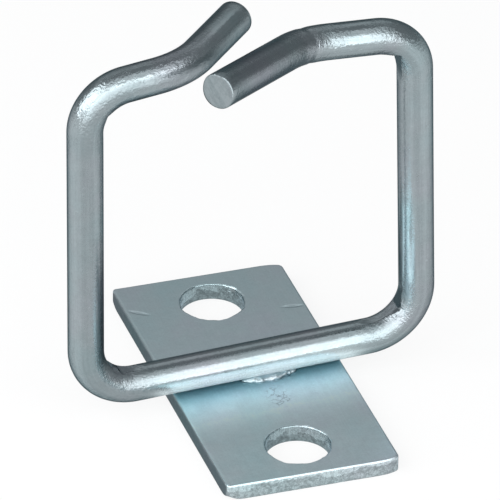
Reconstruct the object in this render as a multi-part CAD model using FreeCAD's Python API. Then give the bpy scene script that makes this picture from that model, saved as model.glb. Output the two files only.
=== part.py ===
"""Cable management bracket: an open square ring of bent round wire, welded across a punched flat plate.

Millimetres and degrees. +X runs along the ring's lower bar, +Y to the back, +Z up out of the plate.
The origin is the centre of the plate's underside.
"""
import FreeCAD, Part
import math
import os

from FreeCAD import Placement, Rotation, Vector

# Plate: a length of flat bar with cropped ends and two punched screw holes
PLATE_WIDTH = 24.65
PLATE_LENGTH = 50.8
PLATE_THICKNESS = 2.5
CROP_SKEW = -1.45       # both ends are cropped this much out of square
CROP_EASE_RUN = 2.7     # the crop pulls the right corners in: along the end
CROP_EASE_DROP = 0.6    # and along the side
CORNER_RADIUS = 0.6
TOP_ROLL = 0.35         # rolled-over upper edges of the crop and the bar
BASE_ROLL = 0.2
HOLE_DIAMETER = 8.8
HOLE_SPACING = 36.8
HOLE_EASE = 0.25        # rim drawn in by the punch

# Ring: one bent wire, seen from the front, with sizes along the wire's centreline
WIRE_DIAMETER = 5.0
RING_WIDTH = 48.6       # between the two lower corner points
RING_HEIGHT = 48.0      # lower to upper corner points
LOWER_BEND = 7.1
UPPER_BEND = 6.35
END_BEND = 10.4
LEFT_LEAN = -0.25       # inward lean of each upright
RIGHT_LEAN = 1.7
ARM_RISE = 5.1          # the two upper arms rise towards the mouth
LEFT_ARM = 14.3         # upper corner point to end bend point
RIGHT_ARM = 16.5
LEFT_END = 15.35        # end bend point to cut end
RIGHT_END = 24.2
END_TURN = 42.9         # the left end turns to the back, the right end to the front
LEFT_END_DIP = 2.0
RIGHT_END_LIFT = 19.9
END_EASE = 0.25         # rim of each cut end
MANDREL_BITE = 0.3      # flat pressed into the inside of each corner bend

# Weld: the wire sinks a little into the plate, with a short bead on each side of it
RING_OFFSET = Vector(-0.44, -0.33, 0)
RING_YAW = 2.2          # the ring is welded on a little out of square
SET_DOWN = 0.05
WELD_LENGTH = 8.0
WELD_REACH = 2.1        # from the line of contact to the bead's toe
WELD_CENTRE = 2.0       # along the lower bar

WIRE_RADIUS = WIRE_DIAMETER / 2
TINY = 1e-6
X_AXIS = Vector(1, 0, 0)
Y_AXIS = Vector(0, 1, 0)
Z_AXIS = Vector(0, 0, 1)


def plate_outline():
    """Closed wire round the plate's underside, with eased right corners."""
    half_width = PLATE_WIDTH / 2
    slope = math.tan(math.radians(CROP_SKEW))

    def end_point(x, side):
        return Vector(x, side * PLATE_LENGTH / 2 + x * slope, 0)

    def eased_corner(side):
        """Arc that leaves the end tangentially and drops to the right side."""
        start = end_point(half_width - CROP_EASE_RUN, side)
        finish = end_point(half_width, side) - Vector(0, side * CROP_EASE_DROP, 0)
        middle = (start + finish) / 2 + Vector(0, side * CROP_EASE_DROP / 4, 0)
        return start, middle, finish

    back_start, back_middle, back_finish = eased_corner(1)
    front_start, front_middle, front_finish = eased_corner(-1)
    back_left = end_point(-half_width, 1)
    front_left = end_point(-half_width, -1)
    edges = [
        Part.LineSegment(front_left, front_start),
        Part.Arc(front_start, front_middle, front_finish),
        Part.LineSegment(front_finish, back_finish),
        Part.Arc(back_finish, back_middle, back_start),
        Part.LineSegment(back_start, back_left),
        Part.LineSegment(back_left, front_left),
    ]
    return Part.Wire([edge.toShape() for edge in edges])


def side_corners(solid):
    """The upright edges where the plate's ends meet its long sides."""
    def is_on_side(box):
        return abs(box.ZLength - PLATE_THICKNESS) < TINY and abs(abs(box.XMin) - PLATE_WIDTH / 2) < TINY

    return [edge for edge in solid.Edges if is_on_side(edge.BoundBox)]


def edges_at_height(solid, height):
    """All edges of a solid that lie in one level plane."""
    def is_level(box):
        return box.ZLength < TINY and abs(box.ZMin - height) < TINY

    return [edge for edge in solid.Edges if is_level(edge.BoundBox)]


def mounting_plate(ring):
    """Cropped flat bar with rolled edges, two punched holes and the ring's shallow seat."""
    blank = Part.Face(plate_outline()).extrude(Z_AXIS * PLATE_THICKNESS)
    blank = blank.makeFillet(CORNER_RADIUS, side_corners(blank))
    blank = blank.makeFillet(TOP_ROLL, edges_at_height(blank, PLATE_THICKNESS))
    blank = blank.makeFillet(BASE_ROLL, edges_at_height(blank, 0))
    for side in (-1, 1):
        centre = Vector(0, side * HOLE_SPACING / 2, 0)
        blank = blank.cut(Part.makeCylinder(HOLE_DIAMETER / 2, PLATE_THICKNESS, centre))
    upper_edges = edges_at_height(blank, PLATE_THICKNESS)
    rims = [edge for edge in upper_edges if isinstance(edge.Curve, Part.Circle) and edge.isClosed()]
    return blank.makeChamfer(HOLE_EASE, rims).cut(ring)


def lean_offset(lean):
    """How far an upright's top corner comes in towards the middle."""
    return RING_HEIGHT * math.tan(math.radians(lean))


def arm_direction(towards):
    """Unit vector along an upper arm, which rises towards the mouth."""
    rise = math.radians(ARM_RISE)
    return Vector(towards * math.cos(rise), 0, math.sin(rise))


def end_direction(towards, away, lift):
    """Unit vector along a free end that turns out of the ring's plane."""
    turn = math.radians(END_TURN)
    lift = math.radians(lift)
    return Vector(
        towards * math.cos(turn),
        away * math.sin(turn) * math.cos(lift),
        math.sin(turn) * math.sin(lift),
    )


def ring_corners():
    """Corner points of the wire's centreline from the left end to the right end, and the bend at each."""
    half = RING_WIDTH / 2
    lower_left = Vector(-half, 0, 0)
    lower_right = Vector(half, 0, 0)
    upper_left = Vector(-half + lean_offset(LEFT_LEAN), 0, RING_HEIGHT)
    upper_right = Vector(half - lean_offset(RIGHT_LEAN), 0, RING_HEIGHT)
    left_bend = upper_left + arm_direction(1) * LEFT_ARM
    right_bend = upper_right + arm_direction(-1) * RIGHT_ARM
    left_tip = left_bend + end_direction(1, 1, -LEFT_END_DIP) * LEFT_END
    right_tip = right_bend + end_direction(-1, -1, RIGHT_END_LIFT) * RIGHT_END
    points = [left_tip, left_bend, upper_left, lower_left, lower_right, upper_right, right_bend, right_tip]
    bends = [END_BEND, UPPER_BEND, LOWER_BEND, LOWER_BEND, UPPER_BEND, END_BEND]
    return points, bends


def bend_arc(before, corner, after, radius):
    """Start, middle, finish and centre of the arc that rounds one corner of a path."""
    back = (before - corner).normalize()
    ahead = (after - corner).normalize()
    half_angle = back.getAngle(ahead) / 2
    tangent = radius / math.tan(half_angle)
    inward = (back + ahead).normalize()
    centre = corner + inward * (radius / math.sin(half_angle))
    return corner + back * tangent, centre - inward * radius, corner + ahead * tangent, centre


def wire_path(points, bends):
    """Straight runs joined by tangent arcs, as one wire."""
    edges = []
    run_start = points[0]
    for before, corner, after, radius in zip(points, points[1:], points[2:], bends):
        start, middle, finish, _ = bend_arc(before, corner, after, radius)
        edges.append(Part.LineSegment(run_start, start).toShape())
        edges.append(Part.Arc(start, middle, finish).toShape())
        run_start = finish
    edges.append(Part.LineSegment(run_start, points[-1]).toShape())
    return Part.Wire(edges)


def mandrel(before, corner, after, radius):
    """Round tool that one corner of the ring was bent around, which bites a little into the wire."""
    centre = bend_arc(before, corner, after, radius)[3]
    tool_radius = radius - WIRE_RADIUS + MANDREL_BITE
    return Part.makeCylinder(tool_radius, 2 * WIRE_DIAMETER, centre - Y_AXIS * WIRE_DIAMETER, Y_AXIS)


def ring_placement():
    """Where the ring's lower bar lies on the plate."""
    height = PLATE_THICKNESS + WIRE_RADIUS - SET_DOWN
    return Placement(RING_OFFSET + Z_AXIS * height, Rotation(Z_AXIS, RING_YAW))


def cable_ring():
    """Bent wire with eased cut ends and pressed corner bends, standing on the plate."""
    points, bends = ring_corners()
    path = wire_path(points, bends)
    section = Part.Wire([Part.makeCircle(WIRE_RADIUS, points[0], points[1] - points[0])])
    ring = path.makePipeShell([section], True, False)
    cut_faces = [f for f in ring.Faces if isinstance(f.Surface, Part.Plane)]
    ring = ring.makeChamfer(END_EASE, [face.Edges[0] for face in cut_faces])
    corners = list(zip(points, points[1:], points[2:], bends))[1:-1]
    for corner in corners:
        ring = ring.cut(mandrel(*corner))
    ring.Placement = ring_placement()
    return ring


def weld_beads(plate, ring):
    """Front and back bead: a spindle round the line of contact, outside the wire and above the plate."""
    toe = Part.Arc(
        Vector(-WELD_LENGTH / 2, 0, 0),
        Vector(0, WELD_REACH, 0),
        Vector(WELD_LENGTH / 2, 0, 0),
    ).toShape()
    axis = Part.LineSegment(Vector(WELD_LENGTH / 2, 0, 0), Vector(-WELD_LENGTH / 2, 0, 0)).toShape()
    spindle = Part.Face(Part.Wire([toe, axis])).revolve(Vector(), X_AXIS, 360)
    contact = Vector(WELD_CENTRE, 0, SET_DOWN - WIRE_RADIUS)
    spindle.Placement = ring_placement() * Placement(contact, Rotation())
    beads = spindle.cut(ring).cut(plate)
    upper = [s for s in beads.Solids if s.CenterOfMass.z > PLATE_THICKNESS]
    return sorted(upper, key=lambda solid: solid.CenterOfMass.y)


def main():
    """Builds every piece and writes one file for each."""
    ring = cable_ring()
    plate = mounting_plate(ring)
    weld_front, weld_back = weld_beads(plate, ring)
    pieces = {
        "mounting_plate": plate,
        "cable_ring": ring,
        "weld_front": weld_front,
        "weld_back": weld_back,
    }
    os.makedirs("parts", exist_ok=True)
    for name, shape in pieces.items():
        shape.exportStep(f"parts/{name}.step")


main()
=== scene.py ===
"""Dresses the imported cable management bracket: bent wire ring, punched plate and weld, in blue-white zinc.

Sizes in the classes are millimetres in the frame of the solids, and the meshes are made in metres.
"""
from __future__ import annotations

import logging
import math
from collections.abc import Callable
from dataclasses import dataclass, field
from enum import Enum
from functools import cached_property
from typing import ClassVar

import bmesh
import bpy
from bmesh.types import BMEdge, BMesh, BMFace, BMVert
from bpy.types import Material, Node, NodeSocket, NodeTree, Object
from mathutils import Matrix, Vector, noise


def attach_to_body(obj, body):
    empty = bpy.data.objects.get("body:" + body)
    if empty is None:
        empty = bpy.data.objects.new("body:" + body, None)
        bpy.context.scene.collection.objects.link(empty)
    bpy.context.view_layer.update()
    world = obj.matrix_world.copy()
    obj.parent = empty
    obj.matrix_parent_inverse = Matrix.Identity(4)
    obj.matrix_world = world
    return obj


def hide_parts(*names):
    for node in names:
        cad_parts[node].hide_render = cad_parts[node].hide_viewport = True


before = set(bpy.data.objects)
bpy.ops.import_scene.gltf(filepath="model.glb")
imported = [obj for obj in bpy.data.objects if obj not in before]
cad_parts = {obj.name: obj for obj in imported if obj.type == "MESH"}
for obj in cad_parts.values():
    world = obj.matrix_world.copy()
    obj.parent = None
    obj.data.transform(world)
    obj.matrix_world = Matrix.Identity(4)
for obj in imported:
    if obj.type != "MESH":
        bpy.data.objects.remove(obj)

LOG = logging.getLogger("bracket")
MM = 0.001
UP = Vector((0.0, 0.0, 1.0))
EVEN = (1.0, 1.0, 1.0)
NONE = (0.0, 0.0, 0.0)
QUARTER_TURN = math.radians(90)
SHARP_ANGLE = math.radians(38)
BOTH_SIDES = (-1, 1)
Color = tuple[float, float, float]
WHITE: Color = (1.0, 1.0, 1.0)


class Slot(Enum):
    """The record's material slots."""

    PLATE = "plate_zinc"
    WIRE = "wire_zinc"
    WELD = "weld_metal"


class Surface(Enum):
    """How a patch of the bracket was made, which decides its finish; the plate's sides also carry painted
    shade.
    """

    DRAWN = "drawn"
    SNIPPED = "snipped"
    ROLLED = "rolled"
    # The plate's side walls and lower rounded edge, drawn in the wire's darker colours as painted shade.
    PAINTED_SHADE_SIDE = "side"
    CROPPED = "cropped"
    PUNCHED = "punched"
    WELDED = "welded"


def metres(x: float, y: float, z: float) -> Vector:
    """A point given in millimetres."""
    return Vector((x, y, z)) * MM


def level_turn(degrees: float) -> Matrix:
    """A turn about the upright axis."""
    return Matrix.Rotation(math.radians(degrees), 4, UP)


def way_to(azimuth: float, elevation: float) -> Vector:
    """The direction of a viewpoint, in degrees round the object and above it."""
    around, above = math.radians(azimuth), math.radians(elevation)
    return Vector((math.sin(around) * math.cos(above), -math.cos(around) * math.cos(above), math.sin(above)))


def edges_between(verts: list[BMVert]) -> list[BMEdge]:
    """The edges that have both their ends among some vertices."""
    chosen = set(verts)
    return list(dict.fromkeys(
        edge for vert in verts for edge in vert.link_edges if edge.other_vert(vert) in chosen
    ))


def extrude_loop(mesh: BMesh, loop: list[BMEdge]) -> list[BMVert]:
    """Extrudes a loop of edges in place and gives the new loop's vertices."""
    made = bmesh.ops.extrude_edge_only(mesh, edges=loop)["geom"]
    return [item for item in made if isinstance(item, BMVert)]


def draw_loop(mesh: BMesh, loop: list[BMEdge], foot: Vector, way: Vector, course: list) -> list[list[BMVert]]:
    """Extrudes a loop through a course of sizes and heights.

    Args:
        mesh: The mesh that holds the loop.
        loop: The loop's edges.
        foot: The point that heights are measured from.
        way: The direction that heights are measured in.
        course: Size and height of the loop as it is and after each step, in metres.

    Returns:
        The vertices of each new loop.
    """
    loops = []
    for (size, height), (next_size, next_height) in zip(course, course[1:]):
        verts = extrude_loop(mesh, loop)
        space = Matrix.Translation(-(foot + way * height))
        bmesh.ops.scale(mesh, vec=Vector(EVEN) * (next_size / size), space=space, verts=verts)
        bmesh.ops.translate(mesh, vec=way * (next_height - height), verts=verts)
        loop = edges_between(verts)
        loops.append(verts)
    return loops


def grain(point: Vector, scale: float, seed: float) -> float:
    """Smooth noise between about -1 and 1.

    Args:
        point: Where it is read, in metres.
        scale: Bumps to the millimetre.
        seed: Shifts the pattern, so that two uses differ.

    Returns:
        The noise at that point.
    """
    return noise.noise(point * (scale / MM) + Vector((seed, 2.7 * seed, -1.3 * seed)))


def sculpt(mesh: BMesh, amount: Callable[[BMVert], float]) -> list[BMVert]:
    """Moves vertices along their normals.

    Args:
        mesh: The mesh to sculpt.
        amount: Gives each vertex's way in metres.

    Returns:
        The vertices that moved.
    """
    mesh.normal_update()
    ways = [(vert, amount(vert)) for vert in mesh.verts]
    moves = [(vert, vert.normal * way) for vert, way in ways if way]
    for vert, move in moves:
        vert.co += move
    return [vert for vert, _ in moves]


def add_object(name: str, data: bpy.types.ID) -> Object:
    """Adds an object to the scene, at the origin.

    Args:
        name: Its name.
        data: Its mesh, camera or light.

    Returns:
        The object.
    """
    made = bpy.data.objects.new(name, data)
    bpy.context.collection.objects.link(made)
    return made


def finished_piece(name: str, mesh: BMesh, finishes: list[Material]) -> Object:
    """Turns a finished bmesh into an object of the scene.

    Args:
        name: The piece's name.
        mesh: Its shape, which is freed.
        finishes: Its materials, in the order of its faces' material numbers.

    Returns:
        The object, which sits at the origin.
    """
    data = bpy.data.meshes.new(name)
    mesh.faces.index_update()
    flats = [face.index for face in mesh.faces if not face.smooth]
    mesh.to_mesh(data)
    mesh.free()
    data.set_sharp_from_angle(angle=SHARP_ANGLE)
    for index in flats:
        data.polygons[index].use_smooth = False
    for finish in finishes:
        data.materials.append(finish)
    return add_object(name, data)


def bare_material(name: str) -> Material:
    """A new material with an empty node tree.

    Args:
        name: Its name.

    Returns:
        The material.
    """
    made = bpy.data.materials.new(name)
    made.use_nodes = True
    made.node_tree.nodes.clear()
    return made


class NodeSheet:
    """Short calls for placing and joining the nodes of one tree, at the coordinates of its surface."""

    def __init__(self, tree: NodeTree) -> None:
        """Works on a tree."""
        self.tree = tree
        self.place: NodeSocket | None = None

    def put(self, kind: str, values: dict | None = None, **settings: object) -> Node:
        """Adds a node.

        Args:
            kind: Its type.
            values: What each of its inputs is joined to or set to.
            settings: Its own properties.

        Returns:
            The node.
        """
        node = self.tree.nodes.new(kind)
        for name, value in settings.items():
            setattr(node, name, value)
        for name, value in (values or {}).items():
            self.feed(node.inputs[name], value)
        return node

    def feed(self, socket: NodeSocket, value: object) -> None:
        """Joins an input to another node's output, or sets it.

        Args:
            socket: The input.
            value: The output or the value; a colour comes without its alpha.
        """
        if isinstance(value, NodeSocket):
            self.tree.links.new(value, socket)
        else:
            socket.default_value = (*value, 1.0) if socket.type == "RGBA" else value

    def calc(self, operation: str, *values: object) -> NodeSocket:
        """The result of one mathematical operation."""
        return self.put("ShaderNodeMath", dict(enumerate(values)), operation=operation).outputs[0]

    def times(self, first: object, second: object) -> NodeSocket:
        """The product of two values."""
        return self.calc("MULTIPLY", first, second)

    def sum(self, first: object, second: object, share: float = 1.0) -> NodeSocket:
        """The first value and a share of the second."""
        return self.calc("MULTIPLY_ADD", second, share, first)

    def weigh(self, *parts: tuple[object, float]) -> NodeSocket:
        """The sum of some values, each with its own share.

        Args:
            parts: Each value and its share.

        Returns:
            The sum.
        """
        total: object = 0.0
        for value, share in parts:
            total = self.sum(total, value, share)
        return total

    def span(self, value: object, low: float, high: float, start: float = 0, end: float = 1) -> NodeSocket:
        """Eases a value from one range to another and holds it at its ends."""
        values = {"Value": value, "From Min": low, "From Max": high, "To Min": start, "To Max": end}
        return self.put("ShaderNodeMapRange", values, interpolation_type="SMOOTHSTEP").outputs["Result"]

    def axis(self, name: str) -> NodeSocket:
        """One coordinate of the surface."""
        return self.put("ShaderNodeSeparateXYZ", {"Vector": self.place}).outputs[name]

    def noise(self, scale: float, detail: float, rough: float, place: NodeSocket | None = None) -> NodeSocket:
        """Noise between 0 and 1 at a scale in bumps to the metre."""
        values = {"Vector": place or self.place, "Scale": scale, "Detail": detail, "Roughness": rough}
        return self.put("ShaderNodeTexNoise", values).outputs["Fac"]

    def cells(self, scale: float) -> NodeSocket:
        """A random grey for each crystal at a scale in crystals to the metre."""
        cell = self.put("ShaderNodeTexVoronoi", {"Vector": self.place, "Scale": scale})
        return self.put("ShaderNodeSeparateColor", {"Color": cell.outputs["Color"]}).outputs["Red"]

    def stretch(
        self, scale: tuple, turn: tuple = NONE, move: tuple = NONE, place: NodeSocket | None = None,
    ) -> NodeSocket:
        """Coordinates moved, turned and then scaled along each axis.

        Args:
            scale: The scale along each axis.
            turn: The turn about each axis, in radians.
            move: The move along each axis.
            place: The coordinates, if not the surface's own.

        Returns:
            The new coordinates.
        """
        values = {"Vector": place or self.place, "Location": move, "Rotation": turn}
        moved = self.put("ShaderNodeMapping", values).outputs["Vector"]
        return self.put("ShaderNodeVectorMath", {0: moved, 1: scale}, operation="MULTIPLY").outputs["Vector"]

    def along(self, axes: tuple[Vector, Vector, Vector]) -> NodeSocket:
        """Coordinates measured along three given axes.

        Args:
            axes: The axes.

        Returns:
            The new coordinates.
        """
        parts = {}
        for name, axis in zip("XYZ", axes):
            node = self.put("ShaderNodeVectorMath", {0: self.place, 1: axis}, operation="DOT_PRODUCT")
            parts[name] = node.outputs["Value"]
        return self.put("ShaderNodeCombineXYZ", parts).outputs["Vector"]

    def blend(self, factor: object, first: object, second: object, mode: str = "MIX") -> NodeSocket:
        """Mixes two colours."""
        values = {0: factor, 6: first, 7: second}
        return self.put("ShaderNodeMix", values, data_type="RGBA", blend_type=mode).outputs[2]

    def ramp(self, value: object, stops: dict[float, Color]) -> NodeSocket:
        """Colours that follow a value from stop to stop.

        Args:
            value: The value.
            stops: The colour at each position from 0 to 1.

        Returns:
            The colour.
        """
        node = self.put("ShaderNodeValToRGB", {"Fac": value})
        elements = node.color_ramp.elements
        while len(elements) < len(stops):
            elements.new(0.5)
        for element, (position, color) in zip(elements, stops.items()):
            element.position, element.color = position, (*color, 1.0)
        return node.outputs["Color"]


class EffectSheet(NodeSheet):
    """The sheet of one shared node group, which is given coordinates."""

    def __init__(self, name: str) -> None:
        """Opens a new group.

        Args:
            name: Its name.
        """
        super().__init__(bpy.data.node_groups.new(name, "ShaderNodeTree"))
        self.tree.interface.new_socket(name="Vector", in_out="INPUT", socket_type="NodeSocketVector")
        self.place = self.put("NodeGroupInput").outputs["Vector"]

    def close(self, **results: NodeSocket) -> NodeTree:
        """Gives the group its outputs and hands it over.

        Args:
            results: What each output gives.

        Returns:
            The group.
        """
        for label, value in results.items():
            kind = "NodeSocketColor" if value.type == "RGBA" else "NodeSocketFloat"
            self.tree.interface.new_socket(name=label, in_out="OUTPUT", socket_type=kind)
        self.put("NodeGroupOutput", results)
        return self.tree


class SharedEffects:
    """The surface effects that the finishes use, each made once as a node group."""

    @cached_property
    def plating(self) -> NodeTree:
        """Fine crystalline mottle of a zinc coat."""
        sheet = EffectSheet("zinc plating")
        soft = sheet.noise(640.0, 4.0, 0.55)
        fine = sheet.noise(4200.0, 3.0, 0.6)
        return sheet.close(
            Shade=sheet.span(sheet.weigh((soft, 0.6), (fine, 0.7)), 0.38, 0.92),
            Fleck=sheet.cells(5200.0),
            Height=sheet.weigh((fine, 0.7), (soft, 0.6)),
        )

    @cached_property
    def tint(self) -> NodeTree:
        """Faint colours of the clear passivation, from blue over neutral to violet."""
        sheet = EffectSheet("passivation tint")
        drift = sheet.noise(95.0, 3.0, 0.55)
        stops = {0.30: (0.86, 0.985, 1.0), 0.50: (0.93, 0.985, 1.0), 0.70: (0.965, 0.955, 1.0)}
        return sheet.close(Color=sheet.ramp(drift, stops))

    @cached_property
    def lines(self) -> NodeTree:
        """Fine lines and broad streaks along X that drawing or rolling leaves."""
        sheet = EffectSheet("drawing lines")
        broad = sheet.noise(620.0, 2.0, 0.5, sheet.stretch((0.012, 1.0, 1.0), move=(0.2, 0.4, 0.9)))
        long = sheet.noise(3300.0, 3.0, 0.6, sheet.stretch((0.016, 1.0, 1.0)))
        short = sheet.noise(6400.0, 2.0, 0.5, sheet.stretch((0.05, 1.0, 1.0), move=(0.3, 0.7, 0.1)))
        both = sheet.weigh((long, 0.62), (short, 0.38))
        line, streak = sheet.span(both, 0.36, 0.66), sheet.span(broad, 0.32, 0.68)
        return sheet.close(Line=line, Streak=streak, Height=both)

    @cached_property
    def marks(self) -> NodeTree:
        """Sparse short scuffs from handling in the plating drum."""
        sheet = EffectSheet("drum marks")
        patch = sheet.span(sheet.noise(210.0, 1.0, 0.5), 0.50, 0.62)
        scuffs = []
        for turn in ((0.2, 0.5, 0.9), (1.1, -0.4, 2.3), (-0.7, 1.9, 0.4)):
            streak = sheet.noise(2100.0, 1.0, 0.4, sheet.stretch((0.12, 1.0, 1.0), turn))
            scuffs.append((sheet.times(sheet.span(streak, 0.70, 0.77), patch), 1.0))
        return sheet.close(Mask=sheet.span(sheet.weigh(*scuffs), 0.0, 1.0))

    @cached_property
    def torn(self) -> NodeTree:
        """Grainy torn metal of a sheared face."""
        sheet = EffectSheet("torn metal")
        coarse = sheet.noise(1700.0, 5.0, 0.7)
        crumb = sheet.cells(4300.0)
        shade = sheet.span(sheet.sum(coarse, crumb, 0.25), 0.42, 0.85)
        return sheet.close(Shade=shade, Height=sheet.sum(coarse, crumb, 0.3))

    @cached_property
    def peel(self) -> NodeTree:
        """Dimples that rise where bending works the wire's skin."""
        sheet = EffectSheet("bend dimples")
        wide, close = (sheet.noise(scale, 2.0, 0.5) for scale in (1300.0, 3300.0))
        return sheet.close(Height=sheet.weigh((wide, 0.5), (close, 0.5)))

    @cached_property
    def scratches(self) -> NodeTree:
        """The patch of curled scratches in front of the weld."""
        sheet = EffectSheet("curled scratches")
        middle, width, length = metres(1.3, -6.4, 2.5), 2.0 * MM, 3.4 * MM
        off = sheet.calc("ABSOLUTE", sheet.sum(-0.5, sheet.noise(620.0, 2.0, 0.6)))
        scaled = sheet.stretch((1.0 / width, 1.0 / length, 0.0), move=-middle)
        far = sheet.put("ShaderNodeVectorMath", {0: scaled}, operation="LENGTH").outputs["Value"]
        patch = sheet.span(far, 0.55, 1.0, 1.0, 0.0)
        return sheet.close(Mask=sheet.times(sheet.span(off, 0.006, 0.032, 1.0, 0.0), patch))

    @cached_property
    def painted_shade_and_reflection(self) -> NodeTree:
        """Painted shade and painted reflection on the plate by distance from the bar, and the dish the weld
        drew in front.
        """
        sheet = EffectSheet("welding heat")
        slope, offset = -0.0384, 0.33 * MM
        across = sheet.weigh((sheet.axis("Y"), 1.0), (sheet.axis("X"), slope), (offset, 1.0))
        far = sheet.calc("MAXIMUM", sheet.times(across, -1.0), sheet.times(across, 2.2))
        wave = sheet.sum(far, sheet.noise(240.0, 2.0, 0.5), 1.6 * MM)
        # Painted shade as dark blue-green next to the bar, then a painted reflection band brighter than the
        # plating further out.
        stops = {0.17: (0.46, 0.57, 0.60), 0.34: (0.86, 0.94, 0.96), 0.60: (1.32, 1.31, 1.29), 0.98: WHITE}
        return sheet.close(
            Color=sheet.ramp(sheet.times(wave, 0.06 / MM), stops),
            Height=sheet.span(across, -16.0 * MM, -4.0 * MM, 1.0, 0.0),
        )

    @cached_property
    def seat(self) -> NodeTree:
        """Painted reflected light: zinc low on the wire near the plate, made paler and less metallic."""
        sheet = EffectSheet("painted light low on wire")
        low = sheet.span(sheet.axis("Z"), 3.4 * MM, 6.3 * MM, 1.0, 0.0)
        near = sheet.span(sheet.calc("ABSOLUTE", sheet.axis("X")), 11.0 * MM, 18.0 * MM, 1.0, 0.0)
        # Painted reflected light: the mask covers where the wire is low and near the plate.
        mask = sheet.times(low, near)
        return sheet.close(
            Color=sheet.blend(mask, WHITE, (2.5, 2.42, 2.36)),
            Metal=sheet.span(mask, 0.05, 0.75, 1.0, 0.35),
        )


class SkinSheet(NodeSheet):
    """The sheet of one material, which can call on the shared effects."""

    def __init__(self, tree: NodeTree, effects: SharedEffects) -> None:
        """Starts with the object's own coordinates.

        Args:
            tree: The material's node tree.
            effects: The shared node groups.
        """
        super().__init__(tree)
        self.effects = effects
        self.spot = self.place = self.put("ShaderNodeTexCoord").outputs["Object"]

    def effect(self, group: NodeTree, place: NodeSocket | None = None) -> bpy.types.bpy_prop_collection:
        """The outputs of a shared effect, at the surface's coordinates or at others."""
        return self.put("ShaderNodeGroup", {"Vector": place or self.place}, node_tree=group).outputs

    def attribute(self, name: str) -> bpy.types.bpy_prop_collection:
        """The outputs of an attribute of the mesh."""
        return self.put("ShaderNodeAttribute", attribute_name=name).outputs


@dataclass(frozen=True)
class Relief:
    """What a finish varies: shade from dull to bright, height in millimetres, gloss, tint and metal."""

    shade: NodeSocket
    height: NodeSocket
    gloss: NodeSocket | None = None
    tint: NodeSocket | None = None
    metal: NodeSocket | float = 1.0


@dataclass(frozen=True)
class ZincFinish:
    """Zinc plating on one kind of surface, by itself on uneven metal."""

    surface: Surface
    bright: Color
    dull: Color
    smooth: float
    rough: float
    edge_tint: Color

    fleck_share: ClassVar[float] = 0.12

    def material(self, effects: SharedEffects) -> Material:
        """Builds the material.

        Args:
            effects: The shared node groups.

        Returns:
            The new material.
        """
        made = bare_material(f"zinc_{self.surface.value}")
        skin = SkinSheet(made.node_tree, effects)
        skin.place = self.coordinates(skin)
        relief = self.relief(skin)
        colour = skin.blend(relief.shade, self.dull, self.bright)
        for tint in (skin.effect(effects.tint)["Color"], relief.tint):
            if tint:
                colour = skin.blend(1.0, colour, tint, "MULTIPLY")
        fleck = skin.effect(effects.plating)["Fleck"]
        gloss = skin.weigh((relief.gloss or relief.shade, 1.0 - self.fleck_share), (fleck, self.fleck_share))
        bump = skin.put("ShaderNodeBump", {"Height": relief.height, "Distance": MM, "Strength": 1.0})
        metal = skin.put("ShaderNodeBsdfPrincipled", {
            "Base Color": colour,
            "Metallic": relief.metal,
            "Roughness": skin.span(gloss, 0.0, 1.0, self.rough, self.smooth),
            "Specular Tint": self.edge_tint,
            "Normal": bump.outputs["Normal"],
        })
        skin.put("ShaderNodeOutputMaterial", {"Surface": metal.outputs["BSDF"]})
        return made

    def coordinates(self, skin: SkinSheet) -> NodeSocket:
        """The object's own coordinates."""
        return skin.spot

    def relief(self, skin: SkinSheet) -> Relief:
        """Grainy broken metal under the plating.

        Args:
            skin: The material's sheet.

        Returns:
            What varies over the surface.
        """
        plating, torn = skin.effect(skin.effects.plating), skin.effect(skin.effects.torn)
        shade = skin.weigh((plating["Shade"], 0.3), (torn["Shade"], 0.7))
        return Relief(shade, skin.times(torn["Height"], 0.05))


@dataclass(frozen=True)
class DrawnZinc(ZincFinish):
    """Plating on drawn wire, dimpled where it was bent, with painted shade beyond the bending die's edge."""

    die_edge: float

    def coordinates(self, skin: SkinSheet) -> NodeSocket:
        """Coordinates that follow the straightened wire."""
        return skin.attribute("straight")["Vector"]

    def relief(self, skin: SkinSheet) -> Relief:
        """Drawing lines, drum marks and bend dimples, painted shade beyond the die's edge, and painted
        reflected light low on the wire at the weld.

        Args:
            skin: The material's sheet.

        Returns:
            What varies over the surface.
        """
        plating, lines = skin.effect(skin.effects.plating), skin.effect(skin.effects.lines)
        marks = skin.effect(skin.effects.marks)["Mask"]
        worked = skin.attribute("worked")["Fac"]
        # Painted shade: the free end beyond the die's edge is drawn darker.
        painted_shade_beyond = skin.span(skin.axis("X"), (self.die_edge - 0.6) * MM, (self.die_edge + 0.2) * MM)
        shade = skin.weigh(
            (plating["Shade"], 0.35), (lines["Line"], 0.2), (lines["Streak"], 0.6),
            (marks, 0.3), (worked, -0.1), (painted_shade_beyond, -0.25),
        )
        depth = skin.span(worked, 0.0, 1.0, 0.038, 0.13)
        dimples = skin.times(skin.effect(skin.effects.peel)["Height"], depth)
        height = skin.weigh((plating["Height"], 0.0015), (lines["Height"], 0.004), (dimples, 1.0))
        # Painted reflected light: the wire's colour is brightened and made less metallic low down near the
        # plate.
        pale = skin.effect(skin.effects.seat, skin.spot)
        return Relief(shade, height, skin.sum(shade, worked, -0.2), pale["Color"], pale["Metal"])


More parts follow.
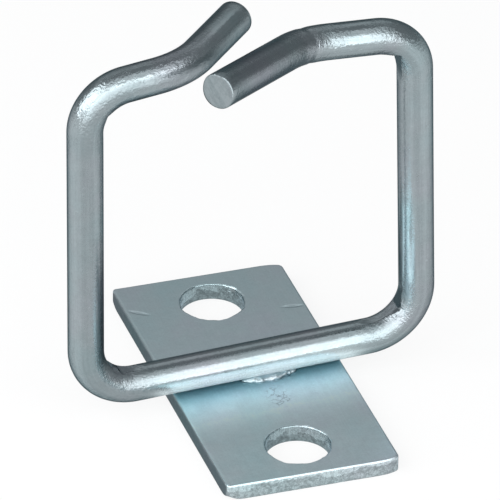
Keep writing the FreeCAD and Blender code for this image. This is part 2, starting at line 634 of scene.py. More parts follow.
@dataclass(frozen=True)
class RolledZinc(ZincFinish):
    """Plating on flat bar, with or without painted shade and painted reflection along the wire."""

    painted_near_bar: bool

    scratch_grey: ClassVar[Color] = (0.62, 0.66, 0.68)
    dish: ClassVar[float] = 0.4

    def relief(self, skin: SkinSheet) -> Relief:
        """Rolling lines, drum marks, scratches and, near the bar, painted shade and painted reflection.

        Args:
            skin: The material's sheet.

        Returns:
            What varies over the surface.
        """
        plating = skin.effect(skin.effects.plating)
        lines = skin.effect(skin.effects.lines, skin.stretch(EVEN, (0.0, 0.0, QUARTER_TURN)))
        marks = skin.effect(skin.effects.marks)["Mask"]
        scratch = skin.effect(skin.effects.scratches)["Mask"]
        shade = skin.weigh((plating["Shade"], 0.75), (lines["Line"], 0.25), (marks, 0.4))
        height = skin.weigh((plating["Height"], 0.004), (lines["Height"], 0.003), (scratch, -0.012))
        if not self.painted_near_bar:
            return Relief(shade, height)
        # Painted shade and painted reflection of the bar, multiplied into the plate's colour.
        painted_shade_and_reflection = skin.effect(skin.effects.painted_shade_and_reflection)
        tint = skin.blend(scratch, painted_shade_and_reflection["Color"], self.scratch_grey)
        return Relief(shade, skin.sum(height, painted_shade_and_reflection["Height"], self.dish), tint=tint)


@dataclass(frozen=True)
class ShearedZinc(ZincFinish):
    """Plating on the plate's sheared faces: a ragged burnished band above a torn one."""

    burnish: float
    ragged: float

    blur: ClassVar[float] = 0.12

    def relief(self, skin: SkinSheet) -> Relief:
        """Shear lines in the burnished band and crumbs in the torn one.

        Args:
            skin: The material's sheet.

        Returns:
            What varies over the surface.
        """
        torn = skin.effect(skin.effects.torn)
        lines = skin.effect(skin.effects.lines, skin.stretch(EVEN, (0.0, QUARTER_TURN, 0.0)))
        waves = skin.span(skin.noise(300.0, 3.0, 0.65), 0.34, 0.66)
        edge = skin.sum(skin.axis("Z"), waves, self.ragged * MM)
        middle = self.burnish + 0.5 * self.ragged
        band = skin.span(edge, (middle - self.blur) * MM, (middle + self.blur) * MM)
        drawn = skin.times(band, skin.sum(0.35, lines["Line"], 0.5))
        shade = skin.weigh((torn["Shade"], 0.6), (drawn, 1.0))
        crumbs = skin.times(torn["Height"], skin.span(band, 0.0, 1.0, 0.11, 0.05))
        return Relief(shade, skin.weigh((crumbs, 1.0), (lines["Height"], 0.01), (band, 0.03)))


@dataclass(frozen=True)
class SnippedZinc(ZincFinish):
    """Plating on the wire's snipped tips."""

    heading: Vector
    stroke: Vector

    def relief(self, skin: SkinSheet) -> Relief:
        """Lines that the blade drew across the face.

        Args:
            skin: The material's sheet.

        Returns:
            What varies over the surface.
        """
        plating = skin.effect(skin.effects.plating)
        face = skin.along((self.stroke, self.heading.cross(self.stroke), self.heading))
        lines = skin.effect(skin.effects.lines, skin.stretch((4.0, 0.4, 0.4), place=face))
        shade = skin.weigh((plating["Shade"], 0.4), (lines["Line"], 0.35), (lines["Streak"], 0.25))
        return Relief(shade, skin.weigh((plating["Height"], 0.01), (lines["Height"], 0.05)))


@dataclass(frozen=True)
class ToolMark:
    """Flats that the bending tool pressed into the inside of a corner, meeting in creases.

    A crease is its degrees into the bend and its depth, and a lip its degrees, width and height.
    """

    creases: tuple[tuple[float, float], ...]
    bed: float = 0.1
    lip: tuple[float, float, float] | None = None

    def face(self, turned: float, inner: float) -> float:
        """How far the tool's face is from the bend's centre.

        Args:
            turned: Degrees into the bend.
            inner: Radius of the bend's inside, in metres.

        Returns:
            The distance in metres.
        """
        near = inner + self.bed * MM
        reach = near
        for crease, depth in self.creases:
            half = math.acos(near / (inner + depth * MM))
            off = half - abs(math.radians(turned - crease))
            reach = max(reach, near / math.cos(max(0.0, off)))
        return reach


@dataclass(frozen=True)
class Corner:
    """One bend to make: where the straight runs would meet, its radius and the tool's mark in it."""

    point: Vector
    radius: float
    mark: ToolMark | None


@dataclass(frozen=True)
class Bend:
    """A bend as made: its centre, its axis, the direction of its start and the radius of its inside."""

    pivot: Vector
    axis: Vector
    start: Vector
    inner: float


class WireBender:
    """A wire bending machine: it feeds a round section along and turns it about each bend's centre."""

    worked_radii = 1.4
    pressed_strain = 0.15
    lip_clearance = 0.12
    rim_steps = 4
    face_shares = (0.8, 0.62, 0.44, 0.26, 0.1)

    def __init__(self, tip: Vector, heading: Vector, radius: float, sides: int) -> None:
        """Clamps the wire's first section.

        Args:
            tip: Centre of the section, in metres.
            heading: Where the wire goes from there.
            radius: The wire's radius in metres.
            sides: Corners of the section.
        """
        self.mesh = bmesh.new()
        self.straight = self.mesh.verts.layers.float_vector.new("straight")
        self.worked = self.mesh.verts.layers.float.new("worked")
        self.centre = tip.copy()
        self.heading = heading.normalized()
        self.radius = radius
        self.fed = 0.0
        stand = Matrix.Translation(tip) @ self.heading.to_track_quat("Z", "Y").to_matrix().to_4x4()
        first = bmesh.ops.create_circle(self.mesh, segments=sides, radius=radius, matrix=stand)["verts"]
        back = stand.inverted()
        for vert in first:
            local = back @ vert.co
            vert[self.straight] = Vector((0.0, local.x, local.y))
        self.first = self.last = edges_between(first)

    def _advance(self, step: float, strain: float) -> list[BMVert]:
        """Extrudes the last section in place.

        Args:
            step: How much wire is fed, in metres.
            strain: How much bending worked that stretch, from 0 to 1.

        Returns:
            The new section.
        """
        verts = extrude_loop(self.mesh, self.last)
        self.last = edges_between(verts)
        self.fed += step
        for vert in verts:
            vert[self.straight].x = self.fed
            vert[self.worked] = strain
        return verts

    def feed(self, length: float, pitch: float) -> None:
        """Feeds a straight run, with close sections near the bends at its ends and wider ones between.

        Args:
            length: How much wire, in metres.
            pitch: Longest step between two sections near a bend.
        """
        worked = self.worked_radii * self.radius
        margin = min(worked, length / 2)
        between = length - 2 * margin
        close = math.ceil(margin / pitch)
        wide = max(1, round(between / (5 * pitch)))
        stops = [margin * step / close for step in range(close + 1)]
        stops += [margin + between * step / wide for step in range(1, wide)]
        stops = sorted({round(stop, 9) for stop in stops + [length - stop for stop in stops]})
        for before, after in zip(stops, stops[1:]):
            reach = min(after, length - after)
            verts = self._advance(after - before, max(0.0, 1.0 - reach / worked))
            bmesh.ops.translate(self.mesh, vec=self.heading * (after - before), verts=verts)
        self.centre += self.heading * length

    def bend(self, towards: Vector, radius: float, pitch: float) -> Bend:
        """Bends the wire until it heads another way.

        Args:
            towards: The new heading.
            radius: Radius of the bend's centreline, in metres.
            pitch: Longest step between two sections.

        Returns:
            The bend.
        """
        axis = self.heading.cross(towards).normalized()
        angle = self.heading.angle(towards)
        inward = axis.cross(self.heading)
        pivot = self.centre + inward * radius
        steps = max(1, math.ceil(radius * angle / pitch))
        turn = Matrix.Rotation(angle / steps, 3, axis)
        for _ in range(steps):
            verts = self._advance(radius * angle / steps, 1.0)
            bmesh.ops.rotate(self.mesh, cent=pivot, matrix=turn, verts=verts)
        whole = Matrix.Rotation(angle, 3, axis)
        self.centre = pivot + whole @ (self.centre - pivot)
        self.heading = (whole @ self.heading).normalized()
        return Bend(pivot, axis, -inward, radius - self.radius)

    def press(self, bend: Bend, mark: ToolMark) -> None:
        """Presses the tool's flats into the inside of a bend.

        Args:
            bend: The bend.
            mark: The tool's mark.
        """
        ahead = bend.axis.cross(bend.start)
        for vert in self.mesh.verts:
            arm = vert.co - bend.pivot
            level = arm.dot(bend.axis)
            if abs(level) > 2 * self.radius:
                continue
            arm -= bend.axis * level
            turned = math.degrees(math.atan2(arm.dot(ahead), arm.dot(bend.start)))
            tool = mark.face(turned, bend.inner)
            if arm.length < tool:
                vert.co = bend.pivot + bend.axis * level + arm.normalized() * tool
                vert[self.worked] = self.pressed_strain

    def raise_lip(self, bend: Bend, mark: ToolMark) -> None:
        """Raises the metal that the tool squeezed out at the front of a crease.

        Args:
            bend: The bend.
            mark: The tool's mark.
        """
        turned, width, height = mark.lip
        front = bend.axis * math.copysign(1.0, -bend.axis.y)
        out = Matrix.Rotation(math.radians(turned), 3, bend.axis) @ bend.start
        face = mark.face(turned, bend.inner)
        half = math.sqrt(self.radius ** 2 - (bend.inner + self.radius - face) ** 2)
        spot = bend.pivot + out * (face + self.lip_clearance * MM) + front * half

        def rise(vert: BMVert) -> float:
            """How far the lip rises there."""
            far = (vert.co - spot).length / (width * MM)
            return height * MM * max(0.0, 1.0 - far * far) ** 2

        for vert in sculpt(self.mesh, rise):
            vert[self.worked] = 0.0

    def groove(self, spot: float, reach: float, depth: float) -> None:
        """Presses the shallow groove that the edge of the bending die left round the wire.

        Args:
            spot: Where it lies along the straightened wire, in metres.
            reach: Half its width, in metres.
            depth: Its depth in metres.
        """
        sculpt(self.mesh, lambda vert: -depth * max(0.0, 1.0 - abs(vert[self.straight].x - spot) / reach))

    def crop(self, loop: list[BMEdge], outward: Vector, centre: Vector, ease: float) -> list[BMVert]:
        """Closes an end with a snipped face and an eased rim.

        Args:
            loop: The end's last section.
            outward: Where the end looks.
            centre: Centre of that section.
            ease: Rounding of the rim, in metres.

        Returns:
            The vertices of the rim and the face.
        """
        turns = [QUARTER_TURN * step / self.rim_steps for step in range(self.rim_steps + 1)]
        course = [(self.radius - ease * (1.0 - math.cos(turn)), ease * math.sin(turn)) for turn in turns]
        course += [(share * self.radius, ease) for share in self.face_shares]
        loops = draw_loop(self.mesh, loop, centre, outward, course)
        for step, verts in enumerate(loops, 1):
            loop = edges_between(verts)
            for face in {face for edge in loop for face in edge.link_faces}:
                face.material_index = int(step >= self.rim_steps)
        for face in bmesh.ops.contextual_create(self.mesh, geom=loop)["faces"]:
            face.material_index = 1
        return [vert for verts in loops for vert in verts]


@dataclass
class WireRing:
    """One length of drawn wire, bent into an open square ring whose ends pass each other."""

    wire: float = 4.98
    width: float = 48.6
    height: float = 48.0
    lower_bend: float = 7.1
    upper_bend: float = 6.35
    end_bend: float = 10.4
    left_lean: float = -0.25
    right_lean: float = 1.7
    arm_rise: float = 5.1
    left_arm: float = 14.3
    right_arm: float = 16.5
    left_end: float = 15.35
    right_end: float = 24.2
    end_turn: float = 42.9
    left_lift: float = -2.0
    right_lift: float = 19.9
    end_ease: float = 0.25
    snip_slope: float = 0.2
    snip_turn: float = -137.0
    snip_radii: float = 0.6
    ceiling: float = 62.39
    offset: tuple[float, float, float] = (-0.44, -0.33, 4.95)
    yaw: float = 2.2
    sides: int = 96
    feed_pitch: float = 0.45
    bend_pitch: float = 0.32
    die_edge: float = 179.4
    die_reach: float = 0.9
    die_depth: float = 0.08
    upper_left_mark: ToolMark = ToolMark(((46.0, 1.05),), 0.2)
    upper_right_mark: ToolMark = ToolMark(((46.0, 1.3),), 0.2)
    lower_left_mark: ToolMark = ToolMark(((36.0, 0.30), (64.0, 0.30)), lip=(50.0, 0.75, 0.20))
    lower_right_mark: ToolMark = ToolMark(((54.0, 0.6),), lip=(50.0, 0.95, 0.16))

    surfaces: ClassVar = (Surface.DRAWN, Surface.SNIPPED)

    def placement(self) -> Matrix:
        """Where the ring's lower bar lies on the plate."""
        return Matrix.Translation(metres(*self.offset)) @ level_turn(self.yaw)

    def _arm(self, towards: float) -> Vector:
        """Heading of an upper arm, which rises towards the mouth."""
        rise = math.radians(self.arm_rise)
        return Vector((towards * math.cos(rise), 0.0, math.sin(rise)))

    def _end(self, side: float, lift: float) -> Vector:
        """Heading of a free end that turns to the back for 1 and to the front for -1.

        Args:
            side: Which end.
            lift: How far it is lifted, in degrees.

        Returns:
            The heading.
        """
        turn, lift = math.radians(self.end_turn), math.radians(lift)
        across = side * math.sin(turn) * math.cos(lift)
        return Vector((side * math.cos(turn), across, math.sin(turn) * math.sin(lift)))

    def _upper(self, side: float, lean: float) -> Vector:
        """An upper corner point, which its upright's lean brings in towards the middle."""
        inward = self.height * math.tan(math.radians(lean))
        return Vector((side * (self.width / 2 - inward), 0.0, self.height))

    def route(self) -> tuple[Vector, list[Corner], Vector]:
        """The wire's course in the frame of the solids, in metres.

        Returns:
            The left tip, the corners from there on, and the right tip.
        """
        half = self.width / 2
        upper_left, upper_right = self._upper(-1, self.left_lean), self._upper(1, self.right_lean)
        left_turn = upper_left + self._arm(1) * self.left_arm
        right_turn = upper_right + self._arm(-1) * self.right_arm
        corners = [
            (left_turn, self.end_bend, None),
            (upper_left, self.upper_bend, self.upper_left_mark),
            (Vector((-half, 0.0, 0.0)), self.lower_bend, self.lower_left_mark),
            (Vector((half, 0.0, 0.0)), self.lower_bend, self.lower_right_mark),
            (upper_right, self.upper_bend, self.upper_right_mark),
            (right_turn, self.end_bend, None),
        ]
        left_tip = left_turn + self._end(1, self.left_lift) * self.left_end
        right_tip = right_turn + self._end(-1, self.right_lift) * self.right_end
        stand = self.placement()
        placed = [Corner(stand @ (point * MM), radius * MM, mark) for point, radius, mark in corners]
        return stand @ (left_tip * MM), placed, stand @ (right_tip * MM)

    def snip(self) -> tuple[Vector, Vector]:
        """Finds how the right tip was snipped.

        Returns:
            Where the tip looks, and the side of it that the slanted cut leaves longest.
        """
        heading = (self.placement().to_3x3() @ self._end(-1, self.right_lift)).normalized()
        turn = Matrix.Rotation(math.radians(self.snip_turn), 3, heading)
        return heading, turn @ heading.cross(UP).normalized()

    def build(self, finishes: dict[Surface, Material]) -> Object:
        """Bends the wire.

        Args:
            finishes: The material of each kind of surface.

        Returns:
            The ring.
        """
        tip, corners, far_tip = self.route()
        ease, radius = self.end_ease * MM, self.wire / 2 * MM
        heading = (corners[0].point - tip).normalized()
        bender = WireBender(tip + heading * ease, heading, radius, self.sides)
        mesh = bender.mesh
        stops = [corner.point for corner in corners[1:]] + [far_tip]
        pressed = []
        for corner, onward in zip(corners, stops):
            towards = (onward - corner.point).normalized()
            tangent = corner.radius * math.tan(bender.heading.angle(towards) / 2)
            bender.feed((corner.point - bender.centre).length - tangent, self.feed_pitch * MM)
            bend = bender.bend(towards, corner.radius, self.bend_pitch * MM)
            if corner.mark:
                pressed.append((bend, corner.mark))
        bender.feed((far_tip - bender.centre).length - ease, self.feed_pitch * MM)
        bmesh.ops.recalc_face_normals(mesh, faces=mesh.faces[:])
        for bend, mark in pressed:
            bender.press(bend, mark)
            if mark.lip:
                bender.raise_lip(bend, mark)
        bender.groove(self.die_edge * MM, self.die_reach * MM, self.die_depth * MM)
        near = self.snip()[1]
        for vert in bender.crop(bender.last, bender.heading, bender.centre, ease):
            rise = (vert.co - bender.centre).dot(near) + self.snip_radii * radius
            vert.co += bender.heading * (self.snip_slope * rise)
        bender.crop(bender.first, -heading, tip + heading * ease, ease)
        for vert in mesh.verts:
            vert.co.z = min(vert.co.z, self.ceiling * MM)
        bmesh.ops.recalc_face_normals(mesh, faces=mesh.faces[:])
        for face in mesh.faces:
            face.smooth = True
        return finished_piece("wire_ring", mesh, [finishes[surface] for surface in self.surfaces])


@dataclass
class PunchedPlate:
    """A length of flat bar with cropped ends and two punched screw holes.

    Below its rim a hole widens: break_out has by how much and at which height. A nick is its middle and
    where it points, in degrees, and nick_depths run in even steps from its rim towards its middle.
    """

    width: float = 24.65
    length: float = 50.8
    thickness: float = 2.5
    skew: float = -1.45
    ease_run: float = 2.7
    ease_drop: float = 0.6
    ease_round: float = 0.5
    corner: float = 0.6
    top_roll: float = 0.35
    base_roll: float = 0.2
    hole: float = 8.8
    spacing: float = 36.8
    hole_roll: float = 0.25
    break_out: tuple = ((0.0, 1.75), (0.0, 1.45), (0.03, 1.2), (0.05, 0.7), (0.06, 0.0))
    nicks: tuple = ((-10.6, 18.75, -36.0), (10.3, 13.95, -8.0))
    nick_size: tuple[float, float] = (3.6, 0.9)
    nick_depths: tuple = (0.0, 0.005709, 0.021151, 0.041958, 0.062268, 0.075402, 0.0746, 0.053558)
    torn_heights: tuple[float, float] = (0.02, 1.7)
    torn_reach: float = 1.0
    fray_height: float = 1.6
    lift: float = 1.0
    lift_reach: float = 2.4
    pitch: float = 0.45
    wall_steps: int = 6
    roll_steps: int = 5
    hole_sides: int = 96
    nick_sides: int = 48
    mesh: BMesh = field(default_factory=bmesh.new)

    surfaces: ClassVar = (Surface.ROLLED, Surface.CROPPED, Surface.PUNCHED, Surface.PAINTED_SHADE_SIDE)

    def _end_point(self, x: float, side: float) -> Vector:
        """A point of one cropped end, in metres."""
        return metres(x, side * self.length / 2 + x * math.tan(math.radians(self.skew)), 0.0)

    def _arms(self, point: Vector) -> list[Vector]:
        """The level ways to a point from the axes of the front and the back hole."""
        return [point - metres(0, side * self.spacing / 2, point.z / MM) for side in BOTH_SIDES]

    def _roll_turns(self) -> list[float]:
        """The angles at which a rolled edge has its loops."""
        return [QUARTER_TURN * step / self.roll_steps for step in range(self.roll_steps + 1)]

    def _outline(self) -> BMFace:
        """Outlines the underside with rounded corners and close points along its edges.

        Returns:
            The underside as one face.
        """
        mesh, half = self.mesh, self.width / 2
        corners = []
        for side in BOTH_SIDES:
            start = self._end_point(half - self.ease_run, side)
            finish = self._end_point(half, side) - metres(0, side * self.ease_drop, 0)
            middle = (start + finish) / 2 + metres(0, side * self.ease_drop / 4, 0)
            chain = [(self._end_point(-half, side), self.corner), (start, self.ease_round)]
            chain += [(middle, self.ease_round), (finish, self.corner)]
            corners += chain if side < 0 else chain[::-1]
        verts = [(mesh.verts.new(point), size) for point, size in corners]
        mesh.faces.new([vert for vert, _ in verts])
        for size in (self.corner, self.ease_round):
            bmesh.ops.bevel(
                mesh, geom=[vert for vert, wanted in verts if wanted == size], offset=size * MM,
                segments=6, profile=0.5, affect="VERTICES", material=-1,
            )
        for edge in mesh.edges[:]:
            cuts = int(edge.calc_length() / (self.pitch * MM))
            if cuts:
                bmesh.ops.subdivide_edges(mesh, edges=[edge], cuts=cuts)
        mesh.faces.ensure_lookup_table()
        return mesh.faces[0]

    def _roll(self, face: BMFace, size: float) -> None:
        """Rounds a face's rim by a run of insets that rise along its normal.

        Args:
            face: The face.
            size: Radius of the rounding.
        """
        turns = self._roll_turns()
        for before, after in zip(turns, turns[1:]):
            bmesh.ops.inset_region(
                self.mesh, faces=[face], use_boundary=True, use_even_offset=True,
                thickness=size * MM * (math.cos(before) - math.cos(after)),
                depth=size * MM * (math.sin(after) - math.sin(before)),
            )

    def _walls(self) -> tuple[list[BMEdge], list[BMEdge]]:
        """Builds the outer walls and rolled edges.

        Returns:
            The edges round the flat of the underside and round the flat of the upper side.
        """
        mesh = self.mesh
        base = self._outline()
        if base.normal.z > 0:
            base.normal_flip()
        bmesh.ops.translate(mesh, vec=UP * (self.base_roll * MM), verts=mesh.verts[:])
        self._roll(base, self.base_roll)
        rim = [edge for edge in mesh.edges if edge.is_boundary]
        rise = (self.thickness - self.base_roll - self.top_roll) * MM
        course = [(1.0, rise * step / self.wall_steps) for step in range(self.wall_steps + 1)]
        rim = edges_between(draw_loop(mesh, rim, Vector(), UP, course)[-1])
        top = bmesh.ops.contextual_create(mesh, geom=rim)["faces"][0]
        if top.normal.z < 0:
            top.normal_flip()
        self._roll(top, self.top_roll)
        flats = list(base.edges), list(top.edges)
        bmesh.ops.delete(mesh, geom=[top, base], context="FACES_ONLY")
        return flats

    def _hole(self, side: float) -> tuple[list[BMEdge], list[BMEdge]]:
        """Builds the rolled rim and the wall of the front hole for -1 or the back one for 1.

        Args:
            side: Which hole.

        Returns:
            The edges of the hole's lower and upper loop.
        """
        radius, roll = self.hole / 2, self.hole_roll
        course = []
        for turn in self._roll_turns():
            height = self.thickness - roll * (1 - math.cos(turn))
            course.append((radius + roll * (1 - math.sin(turn)), height))
        course += [(radius + wider, height) for wider, height in self.break_out]
        course = [(size * MM, height * MM) for size, height in course]
        foot = metres(0, side * self.spacing / 2, 0)
        stand = Matrix.Translation(foot + UP * (self.thickness * MM))
        rim = bmesh.ops.create_circle(
            self.mesh, segments=self.hole_sides, radius=course[0][0], matrix=stand,
        )
        upper = edges_between(rim["verts"])
        return edges_between(draw_loop(self.mesh, upper, foot, UP, course)[-1]), upper

    def _nick(self, x: float, y: float, turn: float) -> list[BMEdge]:
        """Presses one long nick into the upper side.

        Args:
            x: Its middle across the plate.
            y: Its middle along the plate.
            turn: Where it points, in degrees.

        Returns:
            The edges round it.
        """
        length, width = self.nick_size
        spot = metres(x, y, self.thickness)
        oval = Matrix.Diagonal((length / 2, width / 2, 1.0, 1.0))
        stand = Matrix.Translation(spot) @ level_turn(turn) @ oval
        made = bmesh.ops.create_circle(self.mesh, segments=self.nick_sides, radius=MM, matrix=stand)
        rim = edges_between(made["verts"])
        steps = len(self.nick_depths)
        course = [(1.0 - step / steps, -depth * MM) for step, depth in enumerate(self.nick_depths)]
        floor = draw_loop(self.mesh, rim, spot, UP, course)[-1]
        bmesh.ops.contextual_create(self.mesh, geom=edges_between(floor))
        return rim

    def _tear(self) -> None:
        """Makes the sheared ends uneven below their burnished upper part."""
        low, high = self.torn_heights
        end, side = (self.length / 2 - self.torn_reach) * MM, (self.width / 2 - 0.3) * MM
        for vert in self.mesh.verts:
            if low * MM < vert.co.z < high * MM and abs(vert.co.y) > end and abs(vert.co.x) < side:
                torn = 0.05 * grain(vert.co, 1.3, 1.0) + 0.04 * grain(vert.co, 3.1, 2.0) + 0.05
                vert.co.y -= math.copysign(max(0.0, torn) * MM, vert.co.y)

    def _fray(self) -> None:
        """Makes the rims of the holes uneven, where the punch drew them in."""
        reach = (self.hole / 2 + self.hole_roll + 0.01) * MM
        for vert in self.mesh.verts:
            if vert.co.z < self.fray_height * MM:
                continue
            for arm in self._arms(vert.co):
                if arm.length < reach:
                    drawn = 0.16 * grain(vert.co, 0.45, 6.0) + 0.1 * grain(vert.co, 1.3, 8.0) + 0.05
                    drawn = max(0.0, drawn) * MM
                    vert.co += arm.normalized() * drawn
                    if vert.co.z < (self.thickness - 0.001) * MM:
                        vert.co.z -= 0.3 * drawn

    def _lift_corners(self) -> None:
        """Rounds the lower left corners, which the crop pulled up."""
        for side in BOTH_SIDES:
            corner = self._end_point(-self.width / 2, side)
            for vert in self.mesh.verts:
                near = max(0.0, 1.0 - (vert.co - corner).xy.length / (self.lift_reach * MM))
                vert.co.z += self.lift * MM * near ** 2 * (1.0 - vert.co.z / (self.thickness * MM))

    def _sort_faces(self) -> None:
        """Gives every face the material number of its kind of surface, and its shading."""
        end = (self.length / 2 - self.torn_reach) * MM
        for face in self.mesh.faces:
            middle, normal = face.calc_center_median(), face.normal
            flat = abs(normal.z) > 0.999
            face.smooth = not flat
            # Faces that are none of the others take the darker colours of painted shade.
            surface = Surface.PAINTED_SHADE_SIDE
            if min(arm.length for arm in self._arms(middle)) < (self.hole / 2 + 0.6 * self.hole_roll) * MM:
                surface = Surface.PUNCHED
            elif flat or middle.z > (self.thickness - 0.5 * self.top_roll) * MM:
                surface = Surface.ROLLED
            elif abs(middle.y) > end and abs(normal.y) > 0.6 and normal.z > -0.4:
                surface = Surface.CROPPED
            face.material_index = self.surfaces.index(surface)

    def build(self, finishes: dict[Surface, Material]) -> Object:
        """Crops and punches the plate.

        Args:
            finishes: The material of each kind of surface.

        Returns:
            The plate.
        """
        mesh = self.mesh
        base_edges, top_edges = self._walls()
        for side in BOTH_SIDES:
            lower, upper = self._hole(side)
            base_edges += lower
            top_edges += upper
        for nick in self.nicks:
            top_edges += self._nick(*nick)
        for edges in (top_edges, base_edges):
            bmesh.ops.triangle_fill(mesh, edges=edges, use_beauty=True, normal=UP)
        bmesh.ops.remove_doubles(mesh, verts=mesh.verts[:], dist=1e-7)
        self._tear()
        self._fray()
        self._lift_corners()
        bmesh.ops.recalc_face_normals(mesh, faces=mesh.faces[:])
        self._sort_faces()
        return finished_piece("punched_plate", mesh, [finishes[surface] for surface in self.surfaces])


@dataclass
class WeldBead:
    """Uneven weld metal along one side of the line where the wire lies on the plate, with a spatter ball."""

    name: str
    side: float
    seed: float
    centre: float = 2.0
    length: float = 8.0
    reach: float = 1.35
    height: float = 0.65
    taper: float = 0.3
    off_bar: float = 1.15
    drop: float = 2.35
    ball: float = 0.28
    ball_spot: tuple[float, float, float] = (2.7, 0.75, 0.25)

    def _lump(self, vert: BMVert) -> float:
        """How far the uneven metal stands out there, in metres."""
        return MM * (0.24 * grain(vert.co, 0.7, self.seed) + 0.16 * grain(vert.co, 1.7, self.seed + 1))

    def build(self, placement: Matrix, finishes: dict[Surface, Material]) -> Object:
        """Lays the bead.

        Args:
            placement: Where the ring's lower bar lies.
            finishes: The material of each kind of surface.

        Returns:
            The bead.
        """
        mesh, half = bmesh.new(), self.length / 2
        bmesh.ops.create_icosphere(mesh, subdivisions=5, radius=MM)
        bmesh.ops.scale(mesh, vec=(half, self.reach, self.height), verts=mesh.verts[:])
        sculpt(mesh, self._lump)
        for vert in mesh.verts:
            vert.co.y *= 1.0 - self.taper * max(0.0, vert.co.x / MM / half)
        x, y, z = self.ball_spot
        spot = Matrix.Translation(metres(x, self.side * y, z))
        bmesh.ops.create_icosphere(mesh, subdivisions=3, radius=self.ball * MM, matrix=spot)
        seat = placement @ Matrix.Translation(metres(self.centre, self.side * self.off_bar, -self.drop))
        bmesh.ops.transform(mesh, matrix=seat, verts=mesh.verts[:])
        for face in mesh.faces:
            face.smooth = True
        return finished_piece(self.name, mesh, [finishes[Surface.WELDED]])


@dataclass(frozen=True)
class Softbox:
    """A soft light that faces the object from an azimuth and elevation, in metres.

    At level 1 it is as bright as the white of the floor.
    """

    name: str
    aim: tuple[float, float]
    distance: float
    size: tuple[float, float]
    level: float

    height: ClassVar[float] = 25.0

    def hang(self) -> None:
        """Adds the light to the scene."""
        width, depth = self.size
        lamp = bpy.data.lights.new(self.name, "AREA")
        lamp.shape = "RECTANGLE"
        lamp.size, lamp.size_y = width, depth
        lamp.energy = self.level * math.pi * width * depth
        back = way_to(*self.aim)
        light = add_object(self.name, lamp)
        light.location = metres(0, 0, self.height) + back * self.distance
        light.rotation_euler = back.to_track_quat("Z", "Y").to_euler()
        light.visible_camera = False


@dataclass
class Studio:
    """Pale floor, soft lights and the long lens of the photograph."""

    azimuth: float = -19.054
    elevation: float = 33.22
    roll: float = 0.761
    distance: float = 1166.67
    slide: tuple[float, float] = (-0.879, -4.123)
    target_height: float = 27.5
    focal_pixels: float = 8580.571
    frame_pixels: float = 500.0
    sensor: float = 36.0
    room: Color = (0.285, 0.30, 0.31)
    paper: Color = (0.88, 0.88, 0.88)
    floor_radius: float = 6.0
    floor_drop: float = 0.02
    floor_glow: float = 0.85
    lights: tuple[Softbox, ...] = (
        Softbox("front_softbox", (-8.0, 23.0), 0.6, (1.30, 0.68), 2.35),
        Softbox("upper_softbox", (4.0, 65.5), 0.6, (0.80, 0.40), 0.75),
        Softbox("left_softbox", (-85.0, 33.0), 0.5, (0.45, 0.45), 2.7),
        Softbox("back_card", (170.0, 46.0), 0.24, (0.30, 0.10), 0.33),
    )

    def _camera(self) -> None:
        """Sets up the camera at the photograph's viewpoint."""
        around, tilt = math.radians(self.azimuth), math.radians(self.roll)
        back = way_to(self.azimuth, self.elevation)
        level = Vector((math.cos(around), math.sin(around), 0.0))
        upright = back.cross(level)
        right = level * math.cos(tilt) + upright * math.sin(tilt)
        top = upright * math.cos(tilt) - level * math.sin(tilt)
        place = metres(0, 0, self.target_height) + back * (self.distance * MM)
        place += (right * self.slide[0] + top * self.slide[1]) * MM
        lens = bpy.data.cameras.new("camera")
        lens.sensor_fit = "HORIZONTAL"
        lens.sensor_width = self.sensor
        lens.lens = self.focal_pixels / self.frame_pixels * self.sensor
        lens.clip_start, lens.clip_end = 0.01, 50.0
        camera = add_object("camera", lens)
        camera.matrix_world = Matrix.Translation(place) @ Matrix((right, top, back)).transposed().to_4x4()
        bpy.context.scene.camera = camera

    def _world(self) -> None:
        """Lights the room dimly and evenly."""
        world = bpy.data.worlds.new("room")
        world.use_nodes = True
        world.node_tree.nodes["Background"].inputs["Color"].default_value = (*self.room, 1.0)
        bpy.context.scene.world = world

    def _floor(self) -> None:
        """Lays a plain floor, white to the eye and in the metal, that still takes the object's shadow."""
        mesh = bmesh.new()
        bmesh.ops.create_circle(mesh, cap_ends=True, segments=64, radius=self.floor_radius)
        bmesh.ops.translate(mesh, vec=UP * (-self.floor_drop * MM), verts=mesh.verts[:])
        made = bare_material("floor_paper")
        sheet = NodeSheet(made.node_tree)
        paper = sheet.put("ShaderNodeBsdfDiffuse", {"Color": self.paper}).outputs["BSDF"]
        white = sheet.put("ShaderNodeEmission", {"Color": WHITE, "Strength": 1.0}).outputs["Emission"]
        rays = sheet.put("ShaderNodeLightPath").outputs
        seen = rays["Is Camera Ray"]
        for ray in ("Is Glossy Ray", "Is Transmission Ray"):
            seen = sheet.calc("MAXIMUM", seen, rays[ray])
        share = sheet.times(seen, self.floor_glow)
        both = sheet.put("ShaderNodeMixShader", {0: share, 1: paper, 2: white}).outputs["Shader"]
        sheet.put("ShaderNodeOutputMaterial", {"Surface": both})
        finished_piece("floor", mesh, [made])

    def build(self) -> None:
        """Sets up the camera, lights, world and floor."""
        self._camera()
        for light in self.lights:
            light.hang()
        self._world()
        self._floor()
        bpy.context.scene.view_settings.view_transform = "Standard"


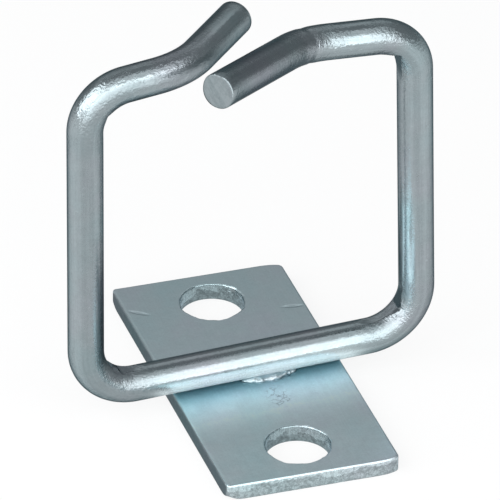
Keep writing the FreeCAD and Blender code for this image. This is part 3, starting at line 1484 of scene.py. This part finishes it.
def bracket_finishes(ring: WireRing) -> list[ZincFinish]:
    """The finish of every kind of surface.

    Args:
        ring: The wire, whose die edge and snipped tip show in its finishes.

    Returns:
        The finishes.
    """
    heading, near = ring.snip()
    wire = (0.40, 0.437, 0.453), (0.25, 0.275, 0.287)
    tip = (0.37, 0.40, 0.415), (0.20, 0.225, 0.235)
    plate = (0.74, 0.835, 0.86), (0.62, 0.705, 0.73)
    end = (0.62, 0.70, 0.72), (0.27, 0.30, 0.31)
    hole = (0.38, 0.445, 0.465), (0.17, 0.197, 0.206)
    weld = (0.50, 0.56, 0.58), (0.36, 0.41, 0.43)
    mild, deep = (0.75, 0.84, 0.90), (0.14, 0.16, 0.17)
    return [
        DrawnZinc(Surface.DRAWN, *wire, 0.12, 0.34, deep, ring.die_edge),
        SnippedZinc(Surface.SNIPPED, *tip, 0.30, 0.50, deep, heading, near.cross(heading)),
        # The plate's upper side takes painted shade and painted reflection near the bar.
        RolledZinc(Surface.ROLLED, *plate, 0.29, 0.37, deep, True),
        # Painted shade: the plate's sides take the wire's darker colours.
        RolledZinc(Surface.PAINTED_SHADE_SIDE, *wire, 0.26, 0.36, deep, False),
        ShearedZinc(Surface.CROPPED, *end, 0.24, 0.45, mild, 1.7, 0.9),
        ShearedZinc(Surface.PUNCHED, *hole, 0.24, 0.45, mild, 1.4, 1.3),
        ZincFinish(Surface.WELDED, *weld, 0.28, 0.45, mild),
    ]


def attach(piece: Object, node: str) -> None:
    """Lets a piece ride on the bracket in place of a solid, and reports it.

    Args:
        piece: The piece.
        node: The solid's node.
    """
    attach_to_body(piece, "root")
    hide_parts(node)
    LOG.info("%s stands for %s with %d faces", piece.name, node, len(piece.data.polygons))


def main() -> None:
    """Builds the pieces in order and notes each one's face count."""
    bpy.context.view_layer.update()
    ring = WireRing()
    effects = SharedEffects()
    finishes = {finish.surface: finish.material(effects) for finish in bracket_finishes(ring)}

    attach(ring.build(finishes), "cable_ring")
    attach(PunchedPlate().build(finishes), "mounting_plate")
    front = WeldBead("weld_crust_front", -1.0, 4.0)
    back = WeldBead("weld_crust_back", 1.0, 9.0)
    attach(front.build(ring.placement(), finishes), "weld_front")
    attach(back.build(ring.placement(), finishes), "weld_back")
    Studio().build()


if __name__ == "__main__":
    logging.basicConfig(level=logging.INFO, format="%(name)s: %(message)s")
    main()
